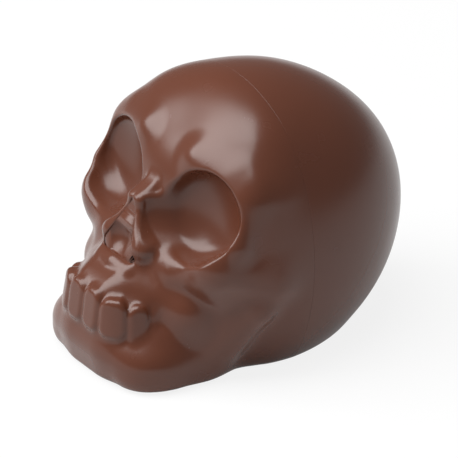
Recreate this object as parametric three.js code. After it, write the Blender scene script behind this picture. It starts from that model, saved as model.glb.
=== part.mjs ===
// A hollow moulded skull of solid chocolate, as it comes out of a two-part mould.
//
// It is two shells cast apart and stuck rim to rim: the face half in front of the seam and the
// plain back half behind it. A bead of chocolate, squeezed in when the warm rims were pressed
// together, runs round the inside of the seam.
//
// Millimetres. +X is the skull's left, -Y is the way it faces, +Z is up. The seam is the plane
// y = 0 of this file, and the finished group is slid along Y to stand centred over its origin.
import * as THREE from 'three';

// Brain case
const vaultHalfWidth = 40.3;
const vaultBack = 53;
const vaultFront = 31.5;
const vaultMiddleZ = 35.6;
const vaultRise = 46.5;
const vaultDropFront = 53.3;
const vaultDropBack = 50;
const vaultDropRun = 25;
const foreheadSwell = 2.8;
const foreheadSpread = 9.5;
const crownFlat = 0.9;
const crownSpread = 14;

// Eye sockets
const socketX = 20.4;
const socketZ = 51.5;
const socketHalfWidth = 13.8;
const socketHalfHeight = 12.2;
const socketFloorY = -19.5;
const socketFloorRadius = 34;
const socketRimRound = 1.8;

// Brow, temple and outer rim of the socket
const browRadius = 3.4;
const outerRimRadius = 4.3;
const templeRadius = 7.5;
const maskHalfWidth = 32.5;
const maskFrontY = -21.5;

// Cheekbones
const cheekX = 28.5;
const cheekY = -24.2;
const cheekZ = 37;
const cheekRadius = 7.3;
const archEndX = 34.5;
const archEndY = -12;
const archEndZ = 32;

// Nose
const bridgeY = -27;
const bridgeZ = 52.6;
const bridgeHalfWidth = 4.4;
const bridgeHalfLength = 8.5;
const bridgeHalfDepth = 3.2;
const bridgeSlope = 26.6;
const noseWallRadius = 4.2;
const nostrilZ = 39.5;
const nostrilHalfWidth = 7.6;
const nostrilHalfHeight = 4.8;
const noseSlotZ = 43.2;
const noseSlotHalfWidth = 4.6;
const noseSlotHalfHeight = 6.8;
const noseFloorY = -29.5;
const noseFloorSlope = 0.2;
const spineRadius = 2.3;

// Upper jaw and teeth
const upperJawRadius = 9.6;
const rootRadius = 7;
const archCentreY = -32.6;
const archRadius = 20.8;
const gumRadius = 7.8;
const gumZ = 22.5;
const toothPitch = 8.1;
const toothDepth = 6;
const toothHeight = 13.2;
const toothGrowth = 1.2;
const toothZ = 21.4;
const toothDrop = 1.8;
const toothLean = 24;
const toothRound = 2.7;

// Lower jaw
const chinHalfWidth = 26.4;
const chinFrontY = -51.8;
const chinHeight = 15;
const chinRound = 8.5;
const jawRadius = 6;
const jawBackX = 22.4;
const ramusRadius = 5;
const baseRound = 1.9;

// Shells and seam
const wall = 3.5;
const seatGap = 0.35;
const beadHalfWidth = 1.6;
const beadThickness = 1.4;

// How finely the shells are divided
const spokes = 88;
const faceRings = 40;
const faceInnerRings = 14;
const backRings = 14;
const backInnerRings = 8;
const beadSpokes = 44;
const relaxRounds = 12;

// Forms. Each maker returns a function of a point that gives about how far the point lies
// outside the form, negative inside.
const ball = (cx, cy, cz, r) => (x, y, z) => Math.hypot(x - cx, y - cy, z - cz) - r;

const egg = (cx, cy, cz, rx, ry, rz) => (x, y, z) => {
  const k = Math.hypot((x - cx) / rx, (y - cy) / ry, (z - cz) / rz);
  const g = Math.hypot((x - cx) / rx ** 2, (y - cy) / ry ** 2, (z - cz) / rz ** 2);
  return g > 1e-9 ? k * (k - 1) / g : -Math.min(rx, ry, rz);
};

// A bar with round ends of two radii, from a to b
const bone = (a, ra, b, rb) => {
  const span = [b[0] - a[0], b[1] - a[1], b[2] - a[2]];
  const length2 = span[0] ** 2 + span[1] ** 2 + span[2] ** 2;
  return (x, y, z) => {
    const p = [x - a[0], y - a[1], z - a[2]];
    const along = (p[0] * span[0] + p[1] * span[1] + p[2] * span[2]) / length2;
    const t = Math.min(1, Math.max(0, along));
    const off = Math.hypot(p[0] - t * span[0], p[1] - t * span[1], p[2] - t * span[2]);
    return off - (ra + (rb - ra) * t);
  };
};

// A block with rounded edges, leant by pitch about X and then turned by yaw about Z, in degrees
const block = (cx, cy, cz, hx, hy, hz, round, pitch = 0, yaw = 0) => {
  const sp = Math.sin(THREE.MathUtils.degToRad(pitch));
  const cp = Math.cos(THREE.MathUtils.degToRad(pitch));
  const sw = Math.sin(THREE.MathUtils.degToRad(yaw));
  const cw = Math.cos(THREE.MathUtils.degToRad(yaw));
  return (x, y, z) => {
    const u = (x - cx) * cw + (y - cy) * sw;
    const v = (y - cy) * cw - (x - cx) * sw;
    const qx = Math.abs(u) - hx + round;
    const qy = Math.abs(v * cp + (z - cz) * sp) - hy + round;
    const qz = Math.abs((z - cz) * cp - v * sp) - hz + round;
    const outside = Math.hypot(Math.max(qx, 0), Math.max(qy, 0), Math.max(qz, 0));
    return outside + Math.min(Math.max(qx, qy, qz), 0) - round;
  };
};

// An oval bore along Y
const ovalBore = (cx, cz, rx, rz) => (x, y, z) => {
  const k = Math.hypot((x - cx) / rx, (z - cz) / rz);
  return (k - 1) * Math.min(rx, rz);
};

// A soft hump of height 1 at its centre
const swell = (cx, cy, cz, spread) => (x, y, z) =>
  Math.exp(-((x - cx) ** 2 + (y - cy) ** 2 + (z - cz) ** 2) / (2 * spread ** 2));

// Joins two forms with a fillet about k wide, and cuts the second from the first likewise
const meld = (a, b, k) => {
  const h = Math.max(k - Math.abs(a - b), 0) / k;
  return Math.min(a, b) - h * h * k / 4;
};
const carve = (a, b, k) => -meld(-a, b, k);

// The brain case: a quarter egg for each of front and back, above and below its middle
const vault = (() => {
  const humpLeft = swell(20, -14.5, 68.5, foreheadSpread);
  const humpRight = swell(-20, -14.5, 68.5, foreheadSpread);
  const crown = swell(0, 34, 72, crownSpread);
  return (x, y, z) => {
    const up = z - vaultMiddleZ;
    const long = y > 0 ? vaultBack : vaultFront;
    const towardsBack = Math.min(1, Math.max(0, y / vaultDropRun));
    const drop = vaultDropFront + (vaultDropBack - vaultDropFront) * towardsBack;
    const egg0 = egg(0, 0, 0, vaultHalfWidth, long, up > 0 ? vaultRise : drop)(x, y, up);
    const humps = foreheadSwell * (humpLeft(x, y, z) + humpRight(x, y, z));
    return egg0 - humps + crownFlat * crown(x, y, z);
  };
})();

// The brow ridge over each socket
const brow = bone([12, -20, 64.5], browRadius, [28.5, -14.5, 60.5], browRadius);

// The block behind the sockets, with the outer rims, temples and cheekbones
const midFace = (() => {
  const core = egg(0, -10, 35, 33, 16.5, 28);
  const mask = block(0, maskFrontY + 10.5, 50, maskHalfWidth, 10.5, 15, 8.5);
  const outerRim = bone(
    [socketX + 10.8, -16.8, socketZ + 5.5], outerRimRadius - 1.1,
    [socketX + 12.4, -22.2, socketZ - 5.5], outerRimRadius);
  const temple = bone([29, -12.5, 55], templeRadius - 1, [30, -12.5, 40], templeRadius);
  const cheek = bone(
    [cheekX, cheekY, cheekZ], cheekRadius,
    [cheekX - 2.5, cheekY - 2.2, cheekZ - 2.7], cheekRadius - 1);
  const arch = bone([cheekX, cheekY, cheekZ], cheekRadius - 0.3, [archEndX, archEndY, archEndZ], 6);
  const underSocket = bone([13, -30.5, 34], 7.2, [cheekX - 1.5, cheekY - 2.3, 34], cheekRadius);
  const cheekFoot = bone([17, -31, 32.2], 5.8, [cheekX - 2.5, cheekY - 2.3, 34.5], 6);
  return (x, y, z) => {
    let d = meld(core(x, y, z), mask(x, y, z), 6);
    d = meld(d, underSocket(x, y, z), 5);
    d = meld(d, cheekFoot(x, y, z), 4);
    d = meld(d, temple(x, y, z), 7);
    d = meld(d, cheek(x, y, z), 5);
    d = meld(d, arch(x, y, z), 5);
    return meld(d, outerRim(x, y, z), 4);
  };
})();

// The lower jaw: a broad chin, the body on each side and the upright ramus behind the teeth
const lowerJaw = (() => {
  const chinDrop = 5;
  const halfTall = (chinHeight + chinDrop) / 2;
  const chinDeep = 18;
  const chin = block(0, chinFrontY + chinDeep, chinHeight - halfTall, chinHalfWidth, chinDeep, halfTall, chinRound);
  const body = bone([20.4, -36, 3], jawRadius - 0.2, [jawBackX, -8, 3], jawRadius);
  const core = egg(0, -4, 20, 31, 30, 26);
  const ramus = bone([20.5, -27, 4], ramusRadius - 1, [34, -16, 24], ramusRadius);
  return (x, y, z) => {
    let d = meld(chin(x, y, z), body(x, y, z), 6);
    d = meld(d, core(x, y, z), 6);
    return meld(d, ramus(x, y, z), 8);
  };
})();

// The hollow of an eye socket: an oval bore that stops on a dished floor
const socket = (() => {
  const bore = ovalBore(socketX, socketZ, socketHalfWidth, socketHalfHeight);
  const dish = ball(socketX, socketFloorY - socketFloorRadius, socketZ + 1, socketFloorRadius);
  return (x, y, z) => {
    const softer = Math.min(1, Math.max(0, (z - socketZ) / socketHalfHeight));
    return carve(bore(x, y, z), -dish(x, y, z), 1 + 5 * softer);
  };
})();

// The nose bridge, the upper jaw and the gum that follows the arch of the teeth
const upperJaw = (() => {
  const bridge = block(
    0, bridgeY, bridgeZ, bridgeHalfWidth, bridgeHalfLength, bridgeHalfDepth,
    bridgeHalfDepth - 0.6, bridgeSlope);
  const noseWall = bone([3.8, bridgeY - 0.8, bridgeZ - 2], noseWallRadius, [8, -33, 38], noseWallRadius);
  const noseFoot = bone([8, -33, 38], noseWallRadius, [11, -33, 30], noseWallRadius + 1.3);
  const front = bone([0, -39, 29], upperJawRadius, [12, -37, 28], upperJawRadius - 1);
  const side = bone([12, -37, 27], upperJawRadius - 1.4, [20, -27, 23], 7);
  const root = bone([12.3, -35.2, 34], rootRadius - 1.2, [12.6, -37.6, 25], rootRadius);
  const gumTurn = archRadius - gumRadius - 0.6;
  const gum = (x, y, z) => {
    const level = gumZ - 0.23 * (Math.min(y, archCentreY + 3) + 45);
    const turn = y < archCentreY ? Math.hypot(x, y - archCentreY) - gumTurn : Math.hypot(x - gumTurn, y - archCentreY);
    return Math.hypot(turn, z - level) - gumRadius;
  };
  return (x, y, z) => {
    let d = meld(bridge(x, y, z), noseWall(x, y, z), 3);
    d = meld(d, noseFoot(x, y, z), 3);
    d = meld(d, front(x, y, z), 4);
    d = meld(d, root(x, y, z), 3);
    d = meld(d, side(x, y, z), 4);
    return meld(d, gum(x, y, z), 3);
  };
})();

// The pear-shaped nose opening, with the small spine that stands at its foot
const noseOpening = (() => {
  const wide = ovalBore(0, nostrilZ, nostrilHalfWidth, nostrilHalfHeight);
  const slot = ovalBore(0, noseSlotZ, noseSlotHalfWidth, noseSlotHalfHeight);
  return (x, y, z) => {
    const floor = y - noseFloorY + (z - 42) * noseFloorSlope;
    return carve(meld(wide(x, y, z), slot(x, y, z), 3), -floor, 0.6);
  };
})();
const noseSpine = bone([0, -42.6, 34.6], spineRadius, [0, -39, 37], spineRadius - 0.7);

// Four upper teeth to a side, a pitch apart round the arch, each lower and more upright
const teeth = Array.from({ length: 4 }, (_, i) => {
  const turn = (i + 0.5) * toothPitch / archRadius;
  const middle = archRadius - toothDepth / 2;
  return block(
    middle * Math.sin(turn), archCentreY - middle * Math.cos(turn), toothZ - i * toothDrop,
    toothPitch / 2, toothDepth / 2, (toothHeight + i * toothGrowth) / 2,
    toothRound, 4 * i - toothLean, THREE.MathUtils.radToDeg(turn));
});

// The lobe of cheek between the teeth and the ramus
const lobe = egg(18, -30, 20, 6, 7, 8);

// The whole skull, the same on both sides, standing on the flat of its base
function skull(side, y, z) {
  const x = Math.abs(side);
  let d = vault(x, y, z);
  if (y < 14) {
    d = meld(d, brow(x, y, z), 6);
    d = meld(d, midFace(x, y, z), 7);
    d = meld(d, lowerJaw(x, y, z), 4);
    d = meld(d, lobe(x, y, z), 3);
    d = carve(d, socket(x, y, z), socketRimRound);
    d = meld(d, upperJaw(x, y, z), 3);
    d = carve(d, noseOpening(x, y, z), 0.9);
    d = meld(d, noseSpine(x, y, z), 1.5);
    d = meld(d, Math.min(...teeth.map((tooth) => tooth(x, y, z))), 1.2);
  }
  return carve(d, z, baseRound);
}

// Walks in from outside along a ray to the first point that lies depth inside the skull
function sink(from, towards, reach, depth) {
  const at = (s) => [from[0] + towards[0] * s, from[1] + towards[1] * s, from[2] + towards[2] * s];
  const miss = (s) => skull(...at(s)) + depth;
  let outer = reach;
  while (miss(outer) > 0.01 && outer > 0) {
    outer -= Math.max(0.05, 0.6 * miss(outer));
  }
  let inner = outer;
  outer += 0.12;
  for (let i = 0; i < 24; i++) {
    const middle = (inner + outer) / 2;
    if (miss(middle) > 0) outer = middle;
    else inner = middle;
  }
  return at(inner);
}

// The centre that the spokes leave from, in the plane of the seam
const hubZ = 38;
const reach = 110;

const spokeWay = (j, count) => {
  const turn = 2 * Math.PI * j / count;
  return [Math.cos(turn), Math.sin(turn)];
};

// Distance from the hub to the skull's outline in the plane y, along a spoke
function outline(way, y, depth) {
  const [x, , z] = sink([0, y, hubZ], [way[0], 0, way[1]], reach, depth);
  return Math.hypot(x, z - hubZ);
}

// One skin of a half shell, as rings of points from the pole to the rim. The rays of ring t start
// spread over the seam plane by lift and lean out from the Y axis by the angle swing, so rays
// near the pole run straight into the hollows of the face and the last ring lies in the seam.
function skin(forward, count, depth, lift, swing) {
  const rings = [];
  for (let i = 0; i <= count; i++) {
    const t = i / count;
    const lean = swing(t) * Math.PI / 2;
    const ring = [];
    for (let j = 0; j < (i ? spokes : 1); j++) {
      const way = spokeWay(j, spokes);
      const base = lift(t) * outline(way, 0, 0);
      const from = [way[0] * base, 0, hubZ + way[1] * base];
      const out = Math.sin(lean);
      ring.push(sink(from, [way[0] * out, forward * Math.cos(lean), way[1] * out], reach, depth));
    }
    rings.push(ring);
  }
  for (const point of rings[count]) point[1] = 0;
  for (let round = 0; round < relaxRounds; round++) relax(rings, depth);
  for (const ring of rings) {
    for (const point of ring) if (Math.abs(point[2] - depth) < 0.01) point[2] = depth;
  }
  return rings;
}

// Evens out a skin: each point but those of the rim moves to the middle of its four neighbours
// and drops back onto the skull, so that the steep walls of the hollows get their share of points
function relax(rings, depth) {
  const middleOf = (points) => [0, 1, 2].map((k) => points.reduce((sum, p) => sum + p[k], 0) / points.length);
  const settled = rings.slice(0, -1).map((ring, i) => ring.map((point, j) => {
    const n = ring.length;
    const inward = i > 1 ? rings[i - 1][j] : rings[0][0];
    const around = i === 0 ? rings[1] : [ring[(j + 1) % n], ring[(j + n - 1) % n], inward, rings[i + 1][j]];
    return settle(middleOf(around), depth);
  }));
  settled.forEach((ring, i) => { rings[i] = ring; });
}

// Moves a point straight down the slope of the field onto the skin that lies depth inside
function settle(point, depth) {
  const e = 0.02;
  let p = point;
  for (let i = 0; i < 3; i++) {
    const here = skull(...p);
    const slope = [
      (skull(p[0] + e, p[1], p[2]) - here) / e,
      (skull(p[0], p[1] + e, p[2]) - here) / e,
      (skull(p[0], p[1], p[2] + e) - here) / e,
    ];
    const steep = slope[0] ** 2 + slope[1] ** 2 + slope[2] ** 2;
    const step = THREE.MathUtils.clamp((here + depth) / steep, -1, 1);
    p = p.map((v, k) => v - step * slope[k]);
  }
  return p;
}

const faceLift = (t) => 0.9 * t;
const faceSwing = (t) => t ** 3;
const backLift = (t) => 0.3 * t;
const backSwing = (t) => t;

// A closed half shell: the outer skin from its pole to the rim, across the flat rim, and the
// inner skin back to its own pole
function halfShell(forward, outerCount, innerCount, lift, swing) {
  const outer = skin(forward, outerCount, 0, lift, swing);
  const inner = skin(forward, innerCount, wall, lift, swing).reverse();
  const points = [...outer, ...inner].flat();
  const rings = outerCount + innerCount;
  const last = points.length - 1;
  const at = (ring, j) => 1 + ring * spokes + j % spokes;
  const faces = [];
  const face = (a, b, c) => faces.push(...(forward < 0 ? [a, b, c] : [a, c, b]));
  for (let j = 0; j < spokes; j++) {
    face(0, at(0, j), at(0, j + 1));
    for (let r = 0; r + 1 < rings; r++) {
      face(at(r, j), at(r + 1, j), at(r + 1, j + 1));
      face(at(r, j), at(r + 1, j + 1), at(r, j + 1));
    }
    face(last, at(rings - 1, j + 1), at(rings - 1, j));
  }
  return solid(points, faces);
}

// The bead: a low five-sided ridge that follows the inside of both walls, clear of them by the gap
function seamBead() {
  const skim = wall + seatGap;
  const profile = [
    [-beadHalfWidth, skim],
    [0, skim],
    [beadHalfWidth, skim],
    [beadHalfWidth / 2, skim + beadThickness],
    [-beadHalfWidth / 2, skim + beadThickness],
  ];
  const sides = profile.length;
  const points = [];
  for (let j = 0; j < beadSpokes; j++) {
    const way = spokeWay(j, beadSpokes);
    for (const [y, depth] of profile) {
      const r = outline(way, y, depth);
      points.push([way[0] * r, y, hubZ + way[1] * r]);
    }
  }
  const at = (j, k) => (j % beadSpokes) * sides + k % sides;
  const faces = [];
  for (let j = 0; j < beadSpokes; j++) {
    for (let k = 0; k < sides; k++) {
      faces.push(at(j, k), at(j, k + 1), at(j + 1, k + 1));
      faces.push(at(j, k), at(j + 1, k + 1), at(j + 1, k));
    }
  }
  return solid(points, faces);
}

function solid(points, faces) {
  const geometry = new THREE.BufferGeometry();
  geometry.setAttribute('position', new THREE.Float32BufferAttribute(points.flat(), 3));
  geometry.setIndex(faces);
  geometry.computeVertexNormals();
  return geometry;
}

function piece(name, geometry, material) {
  const mesh = new THREE.Mesh(geometry, material);
  mesh.name = name;
  return mesh;
}

// Milk chocolate with the gloss of the polished mould on its outside, and a duller bead
const glossyChocolate = new THREE.MeshStandardMaterial({ color: 0x57342a, roughness: 0.3, metalness: 0 });
const beadChocolate = new THREE.MeshStandardMaterial({ color: 0x4d2e25, roughness: 0.55, metalness: 0 });

const chocolateSkull = new THREE.Group();
chocolateSkull.add(piece('face_half_shell', halfShell(-1, faceRings, faceInnerRings, faceLift, faceSwing), glossyChocolate));
chocolateSkull.add(piece('back_half_shell', halfShell(1, backRings, backInnerRings, backLift, backSwing), glossyChocolate));
chocolateSkull.add(piece('seam_bond_bead', seamBead(), beadChocolate));

// Stand the skull centred over its origin
const bounds = new THREE.Box3().setFromObject(chocolateSkull);
chocolateSkull.position.set(0, -(bounds.min.y + bounds.max.y) / 2, -bounds.min.z);

export default chocolateSkull;
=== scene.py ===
"""A hollow skull of moulded chocolate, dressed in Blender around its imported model.

The skull is two half shells, cast apart and stuck rim to rim, with a bead of chocolate round the
inside of the seam. Its form is one field: a function of a point that says about how far the point
lies outside the chocolate, negative inside. Each skin of a half shell is a grid of rings and
spokes that is laid on the field's zero, so every surface here is a function of two parameters.

Sizes are in millimetres, +X to the skull's left, -Y the way it faces and +Z up, with the seam at
y = 0. The meshes are moved to the frame's seam and turned to metres as the last step.
"""
import logging
import math
from dataclasses import dataclass
from enum import Enum

import bpy
import numpy as np
from mathutils import Euler, Matrix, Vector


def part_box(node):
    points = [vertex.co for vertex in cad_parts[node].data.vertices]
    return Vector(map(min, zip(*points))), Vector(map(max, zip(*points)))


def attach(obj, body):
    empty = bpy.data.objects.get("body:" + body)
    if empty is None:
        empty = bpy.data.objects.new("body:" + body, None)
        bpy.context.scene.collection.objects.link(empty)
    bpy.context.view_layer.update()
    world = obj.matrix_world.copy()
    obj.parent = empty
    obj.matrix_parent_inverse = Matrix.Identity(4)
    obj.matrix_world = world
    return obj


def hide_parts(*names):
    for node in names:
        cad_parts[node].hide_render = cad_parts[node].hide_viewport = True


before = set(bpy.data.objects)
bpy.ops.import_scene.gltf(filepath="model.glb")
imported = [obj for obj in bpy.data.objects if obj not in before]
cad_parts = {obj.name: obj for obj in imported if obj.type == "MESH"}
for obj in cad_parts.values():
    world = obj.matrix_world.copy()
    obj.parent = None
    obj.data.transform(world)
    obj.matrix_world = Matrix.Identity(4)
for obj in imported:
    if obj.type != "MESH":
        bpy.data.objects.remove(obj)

Array = np.ndarray
Point = tuple[float, float, float]

MM = 0.001
SHARP_EDGE_DEGREES = 50.0
TINY = 1e-6
log = logging.getLogger("chocolate_skull")


def fillet_join(a: Array, b: Array, width: float) -> Array:
    """Joins two forms with a fillet.

    Formula: the lesser of a and b, less (max(width - |a - b|, 0))^2 / (4 width).

    Args:
        a: Distances outside the first form.
        b: Distances outside the second form.
        width: How far apart a and b may be for the fillet to reach them.

    Returns:
        Distances outside the joined form.
    """
    h = np.maximum(width - np.abs(a - b), 0.0)
    return np.minimum(a, b) - h * h / (4.0 * width)


def fillet_cut(a: Array, b: Array, width: float) -> Array:
    """Keeps what lies in both forms, with a rounded edge between them.

    Args:
        a: Distances outside the first form.
        b: Distances outside the second form.
        width: Width of the rounding, as in fillet_join.

    Returns:
        Distances outside the common form.
    """
    return -fillet_join(-a, -b, width)


@dataclass(frozen=True)
class Ball:
    """A ball."""

    centre: Point
    radius: float

    def gap(self, p: Array) -> Array:
        """Distance from the centre, less the radius."""
        cx, cy, cz = self.centre
        return np.sqrt((p[0] - cx) ** 2 + (p[1] - cy) ** 2 + (p[2] - cz) ** 2) - self.radius


@dataclass(frozen=True)
class Egg:
    """An ellipsoid."""

    centre: Point
    radii: Point

    def gap(self, p: Array) -> Array:
        """Gives about how far each point lies outside.

        Formula: k (k - 1) / g, with k the length of the offset divided by the radii and g the
        length of the offset divided by the radii squared.

        Args:
            p: Points, as rows of x, y and z.

        Returns:
            One distance for each point.
        """
        k2 = 0.0
        g2 = 1e-12
        for value, middle, radius in zip(p, self.centre, self.radii):
            share = (value - middle) / radius
            k2 = k2 + share ** 2
            g2 = g2 + (share / radius) ** 2
        k = np.sqrt(k2)
        return k * (k - 1.0) / np.sqrt(g2)


@dataclass(frozen=True)
class Bone:
    """A bar with round ends of two radii."""

    start: Point
    start_radius: float
    end: Point
    end_radius: float

    def gap(self, p: Array) -> Array:
        """Gives the distance outside the bar.

        Formula: the distance to the nearest point of the bar's line, less a radius that runs
        evenly from one end's to the other's.

        Args:
            p: Points, as rows of x, y and z.

        Returns:
            One distance for each point.
        """
        span = np.subtract(self.end, self.start)
        off = [value - first for value, first in zip(p, self.start)]
        along = sum(o * s for o, s in zip(off, span)) / float(span @ span)
        t = np.clip(along, 0.0, 1.0)
        away = np.sqrt(sum((o - t * s) ** 2 for o, s in zip(off, span)))
        return away - (self.start_radius + (self.end_radius - self.start_radius) * t)


@dataclass(frozen=True)
class Block:
    """A block with rounded edges, leant by its pitch in degrees about X."""

    centre: Point
    halves: Point
    rounding: float
    pitch: float = 0.0

    def gap(self, p: Array) -> Array:
        """Gives the distance outside the block.

        Formula: with q the turned offset's size less the half sizes, plus the rounding, the
        length of q's positive part, plus q's largest part where it is negative, less the
        rounding.

        Args:
            p: Points, as rows of x, y and z.

        Returns:
            One distance for each point.
        """
        sine, cosine = math.sin(math.radians(self.pitch)), math.cos(math.radians(self.pitch))
        x, y, z = (value - middle for value, middle in zip(p, self.centre))
        turned = (x, y * cosine + z * sine, z * cosine - y * sine)
        q = [np.abs(value) - half + self.rounding for value, half in zip(turned, self.halves)]
        outside = np.sqrt(sum(np.maximum(part, 0.0) ** 2 for part in q))
        return outside + np.minimum(np.maximum(np.maximum(*q[:2]), q[2]), 0.0) - self.rounding


@dataclass(frozen=True)
class Slab:
    """An upright block with round corners in plan and rounded edges above and below."""

    centre: Point
    halves: Point
    corner: float
    rounding: float

    def gap(self, p: Array) -> Array:
        """Gives the distance outside the slab.

        Formula: the distance to the rounded rectangle in plan and the one to the height's
        limits, common to both, with a rounding between them.

        Args:
            p: Points, as rows of x, y and z.

        Returns:
            One distance for each point.
        """
        x, y, z = (np.abs(v - m) - h for v, m, h in zip(p, self.centre, self.halves))
        x, y = x + self.corner, y + self.corner
        plan = np.hypot(np.maximum(x, 0.0), np.maximum(y, 0.0))
        plan = plan + np.minimum(np.maximum(x, y), 0.0) - self.corner
        side, end = plan + self.rounding, z + self.rounding
        outside = np.hypot(np.maximum(side, 0.0), np.maximum(end, 0.0))
        return outside + np.minimum(np.maximum(side, end), 0.0) - self.rounding


@dataclass(frozen=True)
class Arch:
    """The plan of the teeth: straight across in front, a quarter turn, and straight back."""

    centre_y: float = -40.6
    flat: float = 5.0
    turn: float = 13.6

    def reach(self, p: Array) -> Array:
        """Gives how far outside the turns' middles each point lies, in plan.

        Formula: the way out past the flat part, and in front of the turns' middles its length
        together with the way forward.

        Args:
            p: Points, as rows of |x|, y and z.

        Returns:
            One length for each point.
        """
        x = np.maximum(p[0] - self.flat, 0.0)
        back = p[1] - self.centre_y
        return np.where(back < 0.0, np.hypot(x, back), x)

    def along(self, p: Array) -> Array:
        """Gives the length round the arch from the middle plane to each point's nearest place.

        Formula: the flat part, then the angle round the turn's middle times its radius, and
        behind it a quarter of the turn plus the way back.

        Args:
            p: Points, as rows of |x|, y and z.

        Returns:
            One length for each point.
        """
        back = p[1] - self.centre_y
        turned = np.arctan2(np.maximum(p[0] - self.flat, 0.0), np.maximum(-back, TINY)) * self.turn
        behind = math.pi / 2.0 * self.turn + back
        return np.minimum(p[0], self.flat) + np.where(back < 0.0, turned, behind)


@dataclass(frozen=True)
class Bow:
    """A round bar bent along the arch of the teeth."""

    arch: Arch
    turn: float
    level: float
    radius: float

    def gap(self, p: Array) -> Array:
        """The distance to the bar's line, which runs at the turn's radius, less its own."""
        return np.hypot(self.arch.reach(p) - self.turn, p[2] - self.level) - self.radius


@dataclass(frozen=True)
class Shelf:
    """A shelf with an arch's plan, whose top slopes forward and falls away to the sides.

    The lean is the angle of the top's normal above the level, in degrees.
    """

    arch: Arch
    turn: float
    y: float
    z: float
    lean: float
    flat: float
    fall: float
    rounding: float

    def gap(self, p: Array) -> Array:
        """Gives the distance outside the shelf.

        Formula: the common part of the arch and of what lies under a leaning plane through y
        and z, sunk by the fall times the squared way out past the flat.

        Args:
            p: Points, as rows of |x|, y and z.

        Returns:
            One distance for each point.
        """
        lean = math.radians(self.lean)
        sunk = self.fall * np.maximum(p[0] - self.flat, 0.0) ** 2
        top = (p[2] - self.z + sunk) * math.sin(lean) - (p[1] - self.y) * math.cos(lean)
        return fillet_cut(self.arch.reach(p) - self.turn, top, self.rounding)


@dataclass(frozen=True)
class Swell:
    """A soft hump that falls off as the bell curve of the distance."""

    centre: Point
    spread: float
    height: float

    def lift(self, p: Array) -> Array:
        """Height times e to the minus squared distance over twice the spread squared."""
        far2 = sum((value - middle) ** 2 for value, middle in zip(p, self.centre))
        return self.height * np.exp(-far2 / (2.0 * self.spread ** 2))


@dataclass(frozen=True)
class BrainCase:
    """The vault of the skull: a quarter egg for front and back, above and below its middle."""

    half_width: float = 40.3
    back: float = 53.0
    front: float = 31.5
    middle_z: float = 35.6
    rise: float = 46.5
    drop_front: float = 53.3
    drop_back: float = 50.0
    drop_run: float = 25.0
    swells: tuple[Swell, ...] = (
        Swell((23.6, -11.8, 66.8), 9.6, 3.4),
        Swell((-23.6, -11.8, 66.8), 9.6, 3.4),
        Swell((0.0, -21.5, 59.4), 5.0, 0.5),
        Swell((0.0, -19.2, 71.7), 8.4, -1.2),
        Swell((28.0, -16.4, 67.7), 3.1, 0.6),
        Swell((-28.0, -16.4, 67.7), 3.1, 0.6),
        Swell((0.0, 34.0, 72.0), 14.0, -0.9),
    )

    def gap(self, p: Array) -> Array:
        """Gives the distance outside the vault.

        Formula: an egg's, with its length chosen by the sign of y and its height by the sign of
        z from the middle, less the swells.

        Args:
            p: Points, as rows of x, y and z.

        Returns:
            One distance for each point.
        """
        x, y, up = p[0], p[1], p[2] - self.middle_z
        long = np.where(y > 0.0, self.back, self.front)
        towards_back = np.clip(y / self.drop_run, 0.0, 1.0)
        drop = self.drop_front + (self.drop_back - self.drop_front) * towards_back
        tall = np.where(up > 0.0, self.rise, drop)
        k = np.sqrt((x / self.half_width) ** 2 + (y / long) ** 2 + (up / tall) ** 2)
        g = np.sqrt((x / self.half_width ** 2) ** 2 + (y / long ** 2) ** 2 + (up / tall ** 2) ** 2)
        return k * (k - 1.0) / np.maximum(g, TINY) - sum(s.lift(p) for s in self.swells)


@dataclass(frozen=True)
class MidFace:
    """What stands round the sockets: the brow, mask, outer rims, temples and cheekbones."""

    brow: Bone = Bone((12.0, -20.0, 64.5), 3.4, (28.5, -14.5, 60.5), 3.3)
    core: Egg = Egg((0.0, -10.0, 35.0), (33.0, 16.5, 28.0))
    mask: Block = Block((0.0, -11.0, 50.0), (32.5, 10.5, 15.0), 8.5)
    outer_rim: Bone = Bone((31.2, -16.8, 57.0), 3.2, (32.8, -22.2, 46.0), 4.3)
    temple: Bone = Bone((29.0, -12.5, 55.0), 6.5, (30.0, -12.5, 40.0), 7.5)
    cheek: Bone = Bone((28.2, -25.4, 39.6), 7.1, (25.8, -25.6, 35.6), 6.2)
    cheek_arch: Bone = Bone((28.6, -24.2, 37.2), 6.9, (34.5, -12.0, 32.6), 6.0)
    under_socket: Bone = Bone((12.6, -29.6, 34.0), 6.8, (25.8, -25.4, 35.4), 6.8)
    cheek_foot: Bone = Bone((16.0, -31.0, 31.0), 6.0, (25.0, -25.8, 33.4), 6.0)

    def gap(self, p: Array) -> Array:
        """Gives the distance outside all but the brow.

        Formula: the parts, joined in order with fillets of their own widths.

        Args:
            p: Points, as rows of |x|, y and z.

        Returns:
            One distance for each point.
        """
        d = fillet_join(self.core.gap(p), self.mask.gap(p), width=6.0)
        d = fillet_join(d, self.under_socket.gap(p), width=5.0)
        d = fillet_join(d, self.cheek_foot.gap(p), width=4.0)
        d = fillet_join(d, self.temple.gap(p), width=7.0)
        d = fillet_join(d, self.cheek.gap(p), width=5.0)
        d = fillet_join(d, self.cheek_arch.gap(p), width=5.0)
        return fillet_join(d, self.outer_rim.gap(p), width=4.0)


@dataclass(frozen=True)
class Flare:
    """How far a bore reaches at its floor, and how it widens over its run in front of it."""

    reach: float
    slope: float
    run: float

    def half(self, ahead: Array) -> Array:
        """The reach plus the slope times the way ahead of the floor, up to the run's end."""
        return self.reach + self.slope * np.clip(ahead, 0.0, self.run)


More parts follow.
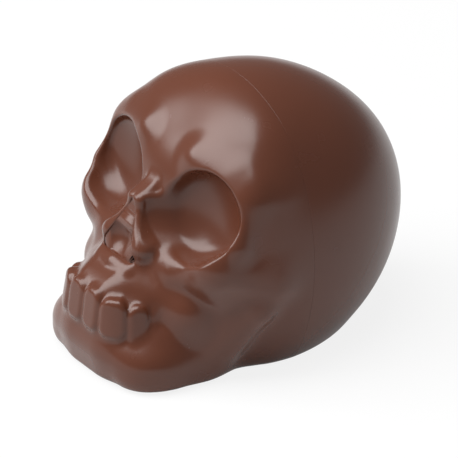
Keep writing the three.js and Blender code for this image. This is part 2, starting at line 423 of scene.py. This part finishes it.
@dataclass(frozen=True)
class EyeSocket:
    """The hollow of an eye: a bore that flares towards the nose and the cheek, and its floor."""

    x: float = 20.4
    z: float = 51.5
    inner: Flare = Flare(8.6, 0.58, 15.0)
    outer: Flare = Flare(12.9, 0.2, 8.0)
    lower: Flare = Flare(10.2, 0.36, 8.0)
    upper: Flare = Flare(12.2, 0.1, 8.0)
    floor: Ball = Ball((24.4, -46.9, 55.5), 28.0)
    rim_round: float = 1.5
    floor_round: float = 0.6
    upper_floor_round: float = 2.0

    def gap(self, p: Array) -> Array:
        """Gives the distance outside the hollow.

        Formula: the common part of the bore and the floor. The bore is an oval in quarters,
        each half size being its reach at the floor plus its slope times the way in front of it.

        Args:
            p: Points, as rows of x, y and z.

        Returns:
            One distance for each point.
        """
        across, up = p[0] - self.x, p[2] - self.z
        ahead = self.floor.centre[1] + self.floor.radius - p[1]
        wide = np.where(across < 0.0, self.inner.half(ahead), self.outer.half(ahead))
        tall = np.where(up < 0.0, self.lower.half(ahead), self.upper.half(ahead))
        bore = (np.hypot(across / wide, up / tall) - 1.0) * np.minimum(wide, tall)
        share = np.clip(up / self.upper.reach, 0.0, 1.0)
        width = self.floor_round + self.upper_floor_round * share
        return fillet_cut(bore, self.floor.gap(p), width)


@dataclass(frozen=True)
class LowerJaw:
    """The broad chin and lower lip, the sides of the jaw and the upright ramus behind them."""

    chin: Slab = Slab((0.0, -35.4, 6.0), (26.4, 17.2, 8.5), 12.0, 7.4)
    lip: Bow = Bow(Arch(), 6.6, 10.1, 7.4)
    body: Bone = Bone((20.0, -36.0, 5.4), 6.2, (22.6, -8.0, 4.4), 6.2)
    flank: Bone = Bone((14.4, -35.4, 13.0), 9.4, (18.4, -23.0, 14.5), 9.2)
    muscle: Bone = Bone((26.8, -24.0, 29.0), 5.2, (24.5, -21.0, 15.0), 5.2)
    core: Egg = Egg((0.0, -4.0, 20.0), (31.0, 30.0, 26.0))
    ramus: Bone = Bone((20.5, -27.0, 4.0), 4.0, (34.0, -16.0, 24.0), 5.0)
    lobe: Egg = Egg((20.6, -28.4, 21.0), (8.4, 9.4, 10.0))

    def gap(self, p: Array) -> Array:
        """Gives the distance outside all but the lobe behind the corner of the mouth.

        Formula: the parts, joined in order with broad fillets.

        Args:
            p: Points, as rows of |x|, y and z.

        Returns:
            One distance for each point.
        """
        d = fillet_join(self.chin.gap(p), self.body.gap(p), width=6.0)
        d = fillet_join(d, self.lip.gap(p), width=5.0)
        d = fillet_join(d, self.flank.gap(p), width=5.0)
        d = fillet_join(d, self.muscle.gap(p), width=6.0)
        d = fillet_join(d, self.core.gap(p), width=6.0)
        return fillet_join(d, self.ramus.gap(p), width=8.0)


@dataclass(frozen=True)
class UpperJaw:
    """The nose's bridge and walls, the slope from there to the teeth, and the jaw's side."""

    bridge: Block = Block((0.0, -26.1, 51.4), (2.6, 9.0, 5.0), 1.3, 26.6)
    nose: Block = Block((0.0, -30.0, 41.2), (11.4, 9.0, 10.0), 4.2, -27.0)
    slope: Shelf = Shelf(Arch(), 12.2, -47.0, 31.2, 64.0, 4.5, 0.11, 5.5)
    side: Bone = Bone((10.2, -36.2, 23.8), 8.5, (18.0, -28.5, 22.5), 8.8)

    def gap(self, p: Array) -> Array:
        """The nose, the slope under it and the side, joined in that order."""
        d = fillet_join(self.nose.gap(p), self.slope.gap(p), width=5.0)
        return fillet_join(d, self.side.gap(p), width=6.0)


@dataclass(frozen=True)
class NoseOpening:
    """The pear-shaped opening of the nose and the round sill at its foot."""

    tip_z: float = 51.6
    foot_z: float = 33.9
    foot_half: float = 8.6
    corner: float = 1.8
    floor_y: float = -35.6
    floor_z: float = 42.0
    floor_slope: float = -0.4
    floor_round: float = 0.6
    sill: Bone = Bone((0.0, -42.4, 32.4), 2.6, (6.4, -41.6, 31.6), 2.4)

    def gap(self, p: Array) -> Array:
        """Gives the distance outside the opening.

        Formula: a triangle, foot down, common with what lies in front of a floor that leans
        back towards its top.

        Args:
            p: Points, as rows of |x|, y and z.

        Returns:
            One distance for each point.
        """
        lean = self.foot_half / (self.tip_z - self.foot_z)
        side = (p[0] - (self.tip_z - p[2]) * lean) / math.hypot(1.0, lean)
        mouth = fillet_cut(side, self.foot_z - p[2], 2.0 * self.corner)
        floor = self.floor_y - (p[2] - self.floor_z) * self.floor_slope - p[1]
        return fillet_cut(mouth, -floor, self.floor_round)


@dataclass(frozen=True)
class Tooth:
    """One tooth's place round the arch and its outline's middle, half width and half height."""

    along: float
    middle_z: float
    half_width: float
    half_height: float


@dataclass(frozen=True)
class ToothRow:
    """The upper teeth of one side, low in relief on a flared arch."""

    arch: Arch = Arch()
    middle_z: float = 21.6
    flare: float = 9.0
    corner: float = 3.4
    edge_round: float = 1.9
    relief: float = 1.0
    gum_z: float = 20.2
    gum_half: float = 7.0
    gum_round: float = 6.0
    teeth: tuple[Tooth, ...] = (
        Tooth(3.9, 22.0, 3.9, 6.4),
        Tooth(12.7, 21.3, 4.7, 6.0),
        Tooth(21.0, 19.8, 3.5, 6.0),
        Tooth(27.8, 19.0, 3.1, 5.4),
    )

    def gap(self, p: Array) -> Array:
        """Gives the distance outside the nearest tooth.

        Formula: the common part, with rounded edges, of the flared arch and of each tooth's
        outline, joined to the gum, which lies a relief deeper. The outline is a rectangle with
        round corners, in the length round the arch and the height.

        Args:
            p: Points, as rows of |x|, y and z.

        Returns:
            One distance for each point.
        """
        slant = math.radians(self.flare)
        edge = self.arch.turn + math.tan(slant) * (self.middle_z - p[2])
        face = (self.arch.reach(p) - edge) * math.cos(slant)
        along = self.arch.along(p)
        gum = np.abs(p[2] - self.gum_z) - self.gum_half
        gum = fillet_cut(face + self.relief, gum, self.gum_round)
        nearest = np.full(face.shape, np.inf)
        for tooth in self.teeth:
            side = np.abs(along - tooth.along) - tooth.half_width + self.corner
            tall = np.abs(p[2] - tooth.middle_z) - tooth.half_height + self.corner
            outside = np.hypot(np.maximum(side, 0.0), np.maximum(tall, 0.0))
            outline = outside + np.minimum(np.maximum(side, tall), 0.0) - self.corner
            nearest = np.minimum(nearest, fillet_cut(face, outline, self.edge_round))
        return fillet_join(nearest, gum, self.relief)


@dataclass(frozen=True)
class Skull:
    """The whole skull, the same on both sides, standing on the flat of its base."""

    brain_case: BrainCase = BrainCase()
    mid_face: MidFace = MidFace()
    socket: EyeSocket = EyeSocket()
    upper_jaw: UpperJaw = UpperJaw()
    nose: NoseOpening = NoseOpening()
    teeth: ToothRow = ToothRow()
    lower_jaw: LowerJaw = LowerJaw()
    base_round: float = 1.9
    face_behind: float = 14.0
    slope_step: float = 0.01
    least_steep: float = 0.2
    longest_move: float = 0.8
    walk_steps: int = 160
    near_enough: float = 0.001
    least_step: float = 0.0005
    share_in: float = 0.6
    share_out: float = 0.3

    def gap(self, p: Array) -> Array:
        """Gives about how far each point lies outside the chocolate.

        Formula: the brain case, joined with the face's parts in order and cut by the sockets,
        the nose and the plane z = 0, all at the point's distance |x| from the middle plane.

        Args:
            p: Points, as rows of x, y and z.

        Returns:
            One distance for each point.
        """
        q = np.stack([np.abs(p[0]), p[1], p[2]])
        d = self.brain_case.gap(q)
        front = q[1] < self.face_behind
        if front.any():
            d = d.copy()
            d[front] = self._with_face(q[:, front], d[front])
        return fillet_cut(d, -q[2], self.base_round)

    def _with_face(self, q: Array, d: Array) -> Array:
        """Joins and cuts the face's parts.

        Args:
            q: Points in front, as rows of |x|, y and z.
            d: Their distances outside the brain case.

        Returns:
            Their distances outside the brain case with its face.
        """
        d = fillet_join(d, self.mid_face.brow.gap(q), width=6.0)
        d = fillet_join(d, self.mid_face.gap(q), width=7.0)
        d = fillet_join(d, self.lower_jaw.gap(q), width=4.0)
        d = fillet_join(d, self.lower_jaw.lobe.gap(q), width=3.0)
        d = fillet_join(d, self.upper_jaw.gap(q), width=3.0)
        d = fillet_cut(d, -self.socket.gap(q), self.socket.rim_round)
        d = fillet_join(d, self.upper_jaw.bridge.gap(q), width=2.5)
        d = fillet_cut(d, -self.nose.gap(q), width=0.9)
        d = fillet_join(d, self.nose.sill.gap(q), width=1.5)
        return fillet_join(d, self.teeth.gap(q), width=1.5)

    def slope(self, p: Array, here: Array) -> Array:
        """Gives the field's slope.

        Formula: the field a small step along each axis, less the field here, over the step.

        Args:
            p: Points, as rows of x, y and z.
            here: The field at those points.

        Returns:
            The slope's rows of x, y and z.
        """
        rows = []
        for axis in range(3):
            moved = p.copy()
            moved[axis] += self.slope_step
            rows.append((self.gap(moved) - here) / self.slope_step)
        return np.stack(rows)

    def settle(self, p: Array, depth: float, rounds: int = 2) -> Array:
        """Moves points straight down the slope onto the skin that lies depth inside.

        Formula: p less the slope times (field + depth) / slope squared, done over again.

        Args:
            p: Points, as rows of x, y and z.
            depth: How deep inside the skin lies.
            rounds: How often the step is made.

        Returns:
            The moved points.
        """
        for _ in range(rounds):
            here = self.gap(p)
            slope = self.slope(p, here)
            steep = np.maximum((slope ** 2).sum(axis=0), self.least_steep)
            p = p - slope * np.clip((here + depth) / steep, -self.longest_move, self.longest_move)
        return p

    def sink(self, start: Array, way: Array, reach: float, depth: float) -> Array:
        """Walks in along rays from outside to the skin that lies depth inside.

        Formula: the distance along a ray shrinks by a share of the field, over and over, until
        the field is minus the depth. A step too far goes back by a smaller share.

        Args:
            start: The rays' inner ends, as rows of x, y and z.
            way: Their unit directions outwards.
            reach: How far out the walk begins.
            depth: How deep inside the skin lies.

        Returns:
            The points on the skin.
        """
        far = np.full(start.shape[1:], reach)
        for _ in range(self.walk_steps):
            miss = self.gap(start + way * far) + depth
            inwards = np.maximum(self.share_in * miss, self.least_step)
            far = far - np.where(miss > self.near_enough, inwards, self.share_out * miss)
        return start + way * far


class Side(Enum):
    """Which half of the skull a shell is, with the way that it bulges along Y."""

    FACE = -1.0
    BACK = 1.0

    @property
    def start_share(self) -> float:
        """The share of the outline at which the first grid's outermost rays start."""
        return 0.9 if self is Side.FACE else 0.3

    @property
    def lean_power(self) -> int:
        """The power with which the first grid's rays lean out: high keeps them straight."""
        return 3 if self is Side.FACE else 1


@dataclass(frozen=True)
class Level:
    """One fineness of a grid, how often it is evened out and how far out it ends up floating."""

    rings: int
    spokes: int
    rounds: int
    lift: float = 0.0


@dataclass
class HalfShell:
    """One moulded half: outer skin, eased rim, flat joint face and inner skin, as one mesh."""

    skull: Skull
    side: Side
    name: str
    node: str
    levels: tuple[Level, ...]
    inner_levels: tuple[Level, ...]
    wall: float = 3.5
    hub_z: float = 38.0
    reach: float = 110.0
    lip: float = 0.8
    rim_round: float = 0.08
    rim_rings: int = 6
    first_lift: float = 8.0

    def ways(self, spokes: int) -> Array:
        """Unit directions of the spokes in the seam plane, as rows of x and z."""
        turn = np.linspace(0.0, 2.0 * math.pi, spokes, endpoint=False)
        return np.stack([np.cos(turn), np.sin(turn)])

    def outline(self, spokes: int, y: float, depth: float) -> Array:
        """Gives the skull's outline in a plane across Y.

        Formula: for each spoke, the point where a ray in the plane from the hub meets the skin.

        Args:
            spokes: How many points the outline has.
            y: The plane's place.
            depth: How deep inside the skin lies.

        Returns:
            The outline's points, as rows of x, y and z.
        """
        ways = self.ways(spokes)
        start = np.zeros((3, spokes))
        start[1] = y
        start[2] = self.hub_z
        way = np.stack([ways[0], np.zeros(spokes), ways[1]])
        return self.skull.sink(start, way, self.reach, depth)

    def first_skin(self, level: Level, depth: float) -> Array:
        """Lays the coarsest grid on the skull.

        Formula: ring t of a spoke starts at a share of the outline and looks along a ray that
        leans out from the Y axis by a right angle times t to a power, so rays near the pole run
        straight into the hollows of the face.

        Args:
            level: The grid's rings and spokes.
            depth: How deep inside the skin lies.

        Returns:
            Points of shape (3, rings + 1, spokes).
        """
        t = np.linspace(0.0, 1.0, level.rings + 1)[:, None]
        base = self.side.start_share * t * np.ones((1, level.spokes))
        lean = t ** self.side.lean_power * math.pi / 2.0
        ways = self.ways(level.spokes)
        rim = self.outline(level.spokes, 0.0, 0.0)
        start = np.stack([rim[0] * base, 0.0 * base, self.hub_z + (rim[2] - self.hub_z) * base])
        out = np.sin(lean)
        way = np.stack([
            out * ways[0],
            self.side.value * np.cos(lean) * np.ones((1, level.spokes)),
            out * ways[1],
        ])
        return self.skull.sink(start, way, self.reach, depth)

    def refine(self, skin: Array, level: Level) -> Array:
        """Reads a grid at another number of rings and spokes.

        Formula: each new point lies straight between its four neighbours in the old grid.

        Args:
            skin: Points of shape (3, rings + 1, spokes).
            level: The new grid's rings and spokes.

        Returns:
            The points of the new grid.
        """
        rings, spokes = skin.shape[1:]
        r = np.linspace(0.0, rings - 1.0, level.rings + 1)
        s = np.arange(level.spokes) * spokes / level.spokes
        r0 = np.minimum(r.astype(int), rings - 2)
        s0 = s.astype(int)
        fr = (r - r0)[:, None]
        fs = (s - s0)[None, :]
        s1 = (s0 + 1) % spokes
        near = skin[:, r0][:, :, s0] * (1 - fs) + skin[:, r0][:, :, s1] * fs
        far = skin[:, r0 + 1][:, :, s0] * (1 - fs) + skin[:, r0 + 1][:, :, s1] * fs
        return near * (1 - fr) + far * fr

    def even_out(self, skin: Array, rim: Array, depths: Array) -> Array:
        """Spreads a grid's points evenly over the skull while it sinks from depth to depth.

        Formula: at each depth, a point goes to the mean of its four neighbours in the grid and
        then down the slope onto the skin of that depth. The pole goes to the mean of the first
        ring, and the rim stays.

        Args:
            skin: Points of shape (3, rings + 1, spokes).
            rim: The rim's points.
            depths: The depths in order.

        Returns:
            The evened grid.
        """
        skin[:, -1] = rim
        for depth in depths:
            around = np.roll(skin, 1, axis=2) + np.roll(skin, -1, axis=2)
            mean = (around[:, 1:-1] + skin[:, :-2] + skin[:, 2:]) / 4.0
            pole = skin[:, 1].mean(axis=1)[:, None, None] * np.ones((1, 1, skin.shape[2]))
            moved = self.skull.settle(np.concatenate([pole, mean], axis=1), depth, 1)
            skin = np.concatenate([moved, skin[:, -1:]], axis=1)
        skin[:, :-1] = self.skull.settle(skin[:, :-1], depths[-1])
        return skin

    def skin(self, levels: tuple[Level, ...], y: float, depth: float) -> Array:
        """Lays one skin, from a coarse grid that floats outside to a fine one that lies on.

        Args:
            levels: The grid's finenesses in order.
            y: The plane of the rim.
            depth: How deep inside the skin lies.

        Returns:
            Points of shape (3, rings + 1, spokes).
        """
        lift = self.first_lift
        skin = self.first_skin(levels[0], depth - lift)
        for level in levels:
            skin = self.refine(skin, level)
            rim = self.outline(level.spokes, y, depth - level.lift)
            depths = depth - np.linspace(lift, level.lift, level.rounds)
            skin = self.even_out(skin, rim, depths)
            lift = level.lift
        return skin

    def eased_rim(self, spokes: int) -> Array:
        """Rounds the outer edge of the joint face.

        Formula: a quarter circle in the rings nearest the seam, each an outline at its distance
        from the seam and the circle's depth there.

        Args:
            spokes: How many points each ring has.

        Returns:
            Points of shape (3, rings, spokes), the last ring in the seam plane.
        """
        rings = [self.outline(spokes, self.side.value * self.rim_round * 2.0, 0.0)]
        for turn in np.linspace(0.0, math.pi / 2.0, self.rim_rings):
            off = self.rim_round * (1.0 - math.sin(turn))
            deep = self.rim_round * (1.0 - math.cos(turn))
            rings.append(self.outline(spokes, self.side.value * off, deep))
        return np.stack(rings, axis=1)

    def build(self) -> bpy.types.Object:
        """Makes the half shell.

        Returns:
            Its object.
        """
        spokes = self.levels[-1].spokes
        outer = self.skin(self.levels, self.side.value * self.lip, 0.0)
        inner = self.skin(self.inner_levels, 0.0, self.wall)[:, ::-1]
        grid = np.concatenate([outer, self.eased_rim(spokes), inner], axis=1)
        poles = grid[:, 0, :1], grid[:, -1, :1]
        points = np.concatenate([poles[0], grid[:, 1:-1].reshape(3, -1), poles[1]], axis=1)
        rings = grid.shape[1] - 2
        faces = ring_faces(rings, spokes, outwards=self.side is Side.FACE)
        log.info("%s: %d points", self.name, points.shape[1])
        return make_object(self.name, points, faces, self.node)


def ring_faces(rings: int, spokes: int, outwards: bool) -> tuple[Array, Array]:
    """Gives the faces of a closed skin of rings between two poles.

    Args:
        rings: How many rings lie between the poles.
        spokes: How many points each ring has.
        outwards: Whether the faces keep this turn or the other.

    Returns:
        The triangles at the poles and the quads between the rings, as arrays of point numbers.
    """
    j = np.arange(spokes)
    following = (j + 1) % spokes
    last = 1 + rings * spokes
    first_cap = np.stack([np.zeros(spokes, int), 1 + j, 1 + following], axis=1)
    base = 1 + (rings - 1) * spokes
    last_cap = np.stack([np.full(spokes, last), base + following, base + j], axis=1)
    start = 1 + np.arange(rings - 1)[:, None] * spokes
    quads = np.stack([
        start + j,
        start + spokes + j,
        start + spokes + following,
        start + following,
    ], axis=2).reshape(-1, 4)
    triangles = np.concatenate([first_cap, last_cap])
    return (triangles, quads) if outwards else (triangles[:, ::-1], quads[:, ::-1])


def seam_y() -> float:
    """The seam's place in the frame, in metres: the rear face of the front half shell."""
    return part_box("face_half_shell")[1].y


def make_object(
    name: str, points: Array, faces: tuple[Array, Array], node: str
) -> bpy.types.Object:
    """Makes a mesh object in the frame from points in millimetres.

    Args:
        name: The piece's name.
        points: Rows of x, y and z.
        faces: Triangles and quads.
        node: The node that the piece stands for.

    Returns:
        The object, riding on the model's only body.
    """
    triangles, quads = faces
    place = np.ascontiguousarray((points * MM).T)
    place[:, 1] += seam_y()
    mesh = bpy.data.meshes.new(name)
    mesh.vertices.add(len(place))
    mesh.vertices.foreach_set("co", place.astype(np.float32).ravel())
    corners = np.concatenate([triangles.ravel(), quads.ravel()]).astype(np.int32)
    mesh.loops.add(len(corners))
    mesh.loops.foreach_set("vertex_index", corners)
    mesh.polygons.add(len(triangles) + len(quads))
    starts = np.concatenate([
        3 * np.arange(len(triangles)),
        3 * len(triangles) + 4 * np.arange(len(quads)),
    ]).astype(np.int32)
    mesh.polygons.foreach_set("loop_start", starts)
    mesh.polygons.foreach_set("use_smooth", np.ones(len(starts), bool))
    mesh.update(calc_edges=True)
    mesh.validate()
    mesh.set_sharp_from_angle(angle=math.radians(SHARP_EDGE_DEGREES))
    obj = bpy.data.objects.new(name, mesh)
    bpy.context.scene.collection.objects.link(obj)
    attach(obj, "root")
    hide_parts(node)
    return obj


@dataclass(frozen=True)
class Chocolate:
    """A set chocolate: its colours, its gloss and the height of its skin's waves in metres."""

    name: str
    colour: Point = (0.090, 0.028, 0.015)
    warm_colour: Point = (0.102, 0.031, 0.016)
    roughness: float = 0.26
    roughness_spread: float = 0.05
    refraction: float = 1.45
    ripple_height: float = 0.00004
    grain_height: float = 0.000004

    def material(self) -> bpy.types.Material:
        """Builds the node material on Object coordinates.

        Returns:
            The material.
        """
        material = bpy.data.materials.new(self.name)
        material.use_nodes = True
        nodes, links = material.node_tree.nodes, material.node_tree.links
        nodes.clear()
        output = nodes.new("ShaderNodeOutputMaterial")
        shader = nodes.new("ShaderNodeBsdfPrincipled")
        links.new(shader.outputs["BSDF"], output.inputs["Surface"])
        shader.inputs["IOR"].default_value = self.refraction
        coordinates = nodes.new("ShaderNodeTexCoord").outputs["Object"]

        tone = self.noise(nodes, links, coordinates, scale=45.0, detail=3.0)
        mix = nodes.new("ShaderNodeMix")
        mix.data_type = "RGBA"
        mix.inputs[6].default_value = (*self.colour, 1.0)
        mix.inputs[7].default_value = (*self.warm_colour, 1.0)
        links.new(tone, mix.inputs[0])
        links.new(mix.outputs[2], shader.inputs["Base Color"])

        haze = self.noise(nodes, links, coordinates, scale=80.0, detail=4.0)
        spread = nodes.new("ShaderNodeMapRange")
        spread.inputs["To Min"].default_value = self.roughness - self.roughness_spread
        spread.inputs["To Max"].default_value = self.roughness + self.roughness_spread
        links.new(haze, spread.inputs["Value"])
        links.new(spread.outputs["Result"], shader.inputs["Roughness"])

        ripple = self.noise(nodes, links, coordinates, scale=60.0, detail=1.0)
        grain = self.noise(nodes, links, coordinates, scale=900.0, detail=2.0)
        normal = None
        for height, size in ((ripple, self.ripple_height), (grain, self.grain_height)):
            bump = nodes.new("ShaderNodeBump")
            bump.inputs["Strength"].default_value = 1.0
            bump.inputs["Distance"].default_value = size
            links.new(height, bump.inputs["Height"])
            if normal is not None:
                links.new(normal, bump.inputs["Normal"])
            normal = bump.outputs["Normal"]
        links.new(normal, shader.inputs["Normal"])
        return material

    @staticmethod
    def noise(
        nodes: bpy.types.Nodes,
        links: bpy.types.NodeLinks,
        coordinates: bpy.types.NodeSocket,
        scale: float,
        detail: float,
    ) -> bpy.types.NodeSocket:
        """Adds a noise.

        Args:
            nodes: The tree's nodes.
            links: The tree's links.
            coordinates: Where the noise is read.
            scale: Its waves per metre.
            detail: Its octaves.

        Returns:
            The socket of its value.
        """
        node = nodes.new("ShaderNodeTexNoise")
        node.inputs["Scale"].default_value = scale
        node.inputs["Detail"].default_value = detail
        links.new(coordinates, node.inputs["Vector"])
        return node.outputs["Fac"]


@dataclass(frozen=True)
class SoftBox:
    """A rectangular studio lamp that shines at the skull.

    Its bearing, elevation and roll about its own axis are in degrees, its lengths in metres.
    """

    name: str
    azimuth: float
    elevation: float
    distance: float
    width: float
    height: float
    brightness: float
    roll: float

    def build(self, target: Point) -> bpy.types.Object:
        """Hangs the lamp on its bearing from the target, facing it.

        Args:
            target: Where it points, in metres.

        Returns:
            The lamp's object.
        """
        lamp = bpy.data.lights.new(self.name, "AREA")
        lamp.shape = "RECTANGLE"
        lamp.size = self.width
        lamp.size_y = self.height
        lamp.energy = self.brightness * math.pi * self.width * self.height
        obj = bpy.data.objects.new(self.name, lamp)
        a, e = math.radians(self.azimuth), math.radians(self.elevation)
        way = (math.cos(e) * math.sin(a), -math.cos(e) * math.cos(a), math.sin(e))
        obj.location = [t + self.distance * w for t, w in zip(target, way)]
        facing = Euler((math.pi / 2.0 - e, 0.0, a)).to_matrix()
        rolled = facing @ Matrix.Rotation(math.radians(self.roll), 3, "Z")
        obj.rotation_euler = rolled.to_euler()
        bpy.context.scene.collection.objects.link(obj)
        return obj


@dataclass(frozen=True)
class Studio:
    """The pale floor, the soft light and the camera at the photograph's angle.

    The camera's angles are in degrees, its view width and aim in millimetres. The floor's glow
    is the share of white that each kind of ray sees.
    """

    azimuth: float = 55.0
    elevation: float = 28.5
    distance: float = 1.6
    view_width: float = 134.7
    aim: Point = (-0.49, -0.7, 30.2)
    sensor_width: float = 36.0
    far_clip: float = 20.0
    floor_size: float = 8.0
    floor_grey: float = 0.7
    floor_glow: tuple[tuple[str, float], ...] = (
        ("Is Camera Ray", 0.85),
        ("Is Glossy Ray", 0.33),
        ("Is Transmission Ray", 0.85),
    )
    world_level: float = 0.22
    lamp_target: Point = (0.0, 0.0, 0.04)
    lamps: tuple[SoftBox, ...] = (
        SoftBox("overhead_strip", -28.3, 59.6, 1.0, 0.76, 1.66, 6.2, 169.7),
    )

    def camera(self) -> None:
        """Sets a long lens at the photograph's angle."""
        lens = bpy.data.cameras.new("camera")
        lens.sensor_width = self.sensor_width
        lens.lens = self.sensor_width * self.distance / (self.view_width * MM)
        lens.clip_end = self.far_clip
        obj = bpy.data.objects.new("camera", lens)
        a, e = math.radians(self.azimuth), math.radians(self.elevation)
        way = (math.cos(e) * math.sin(a), -math.cos(e) * math.cos(a), math.sin(e))
        obj.location = [t * MM + self.distance * w for t, w in zip(self.aim, way)]
        obj.rotation_euler = (math.pi / 2.0 - e, 0.0, a)
        bpy.context.scene.collection.objects.link(obj)
        bpy.context.scene.camera = obj

    def floor(self) -> None:
        """Lays the floor: nearly white to the camera, grey in reflections, with a shadow."""
        half = self.floor_size / 2.0
        mesh = bpy.data.meshes.new("floor")
        corners = [(-half, -half, 0.0), (half, -half, 0.0), (half, half, 0.0), (-half, half, 0.0)]
        mesh.from_pydata(corners, [], [(0, 1, 2, 3)])
        obj = bpy.data.objects.new("floor", mesh)
        bpy.context.scene.collection.objects.link(obj)
        material = bpy.data.materials.new("floor")
        material.use_nodes = True
        nodes, links = material.node_tree.nodes, material.node_tree.links
        nodes.clear()
        output = nodes.new("ShaderNodeOutputMaterial")
        matte = nodes.new("ShaderNodeBsdfDiffuse")
        matte.inputs["Color"].default_value = (*[self.floor_grey] * 3, 1.0)
        glow = nodes.new("ShaderNodeEmission")
        path = nodes.new("ShaderNodeLightPath")
        share = None
        for ray, part in self.floor_glow:
            add = nodes.new("ShaderNodeMath")
            add.operation = "MULTIPLY_ADD"
            add.inputs[1].default_value = part
            add.inputs[2].default_value = 0.0
            links.new(path.outputs[ray], add.inputs[0])
            if share is not None:
                links.new(share.outputs[0], add.inputs[2])
            share = add
        mix = nodes.new("ShaderNodeMixShader")
        links.new(share.outputs[0], mix.inputs[0])
        links.new(matte.outputs[0], mix.inputs[1])
        links.new(glow.outputs[0], mix.inputs[2])
        links.new(mix.outputs[0], output.inputs["Surface"])
        mesh.materials.append(material)

    def light(self) -> None:
        """Sets the even light of the room and hangs the lamps."""
        world = bpy.data.worlds.new("studio")
        bpy.context.scene.world = world
        world.use_nodes = True
        background = world.node_tree.nodes["Background"]
        background.inputs["Color"].default_value = (1.0, 1.0, 1.0, 1.0)
        background.inputs["Strength"].default_value = self.world_level
        for lamp in self.lamps:
            lamp.build(self.lamp_target)

    def build(self) -> None:
        """Sets up camera, floor and light."""
        self.camera()
        self.floor()
        self.light()
        bpy.context.scene.view_settings.view_transform = "Standard"


def main() -> None:
    """Builds the skull's pieces and the studio."""
    logging.basicConfig(level=logging.INFO)
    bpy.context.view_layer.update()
    Studio().build()
    skull = Skull()
    gloss = Chocolate("moulded_chocolate").material()
    dull = Chocolate("bead_chocolate", colour=(0.085, 0.031, 0.02), roughness=0.5).material()
    halves = (
        HalfShell(
            skull, Side.FACE, "moulded_face_half", "face_half_shell",
            (
                Level(40, 72, 50, 4.0), Level(64, 120, 40, 1.5), Level(120, 200, 30, 0.3),
                Level(180, 260, 14), Level(260, 300, 5),
            ),
            (Level(24, 75, 40, 0.5), Level(50, 300, 8)),
        ),
        HalfShell(
            skull, Side.BACK, "moulded_back_half", "back_half_shell",
            (Level(24, 75, 30, 0.5), Level(90, 300, 8)),
            (Level(16, 75, 30, 0.5), Level(40, 300, 8)),
        ),
    )
    for half in halves:
        obj = half.build()
        obj.data.materials.append(gloss)
    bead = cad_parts["seam_bond_bead"]
    bead.data.materials.clear()
    bead.data.materials.append(dull)


if __name__ == "__main__":
    main()
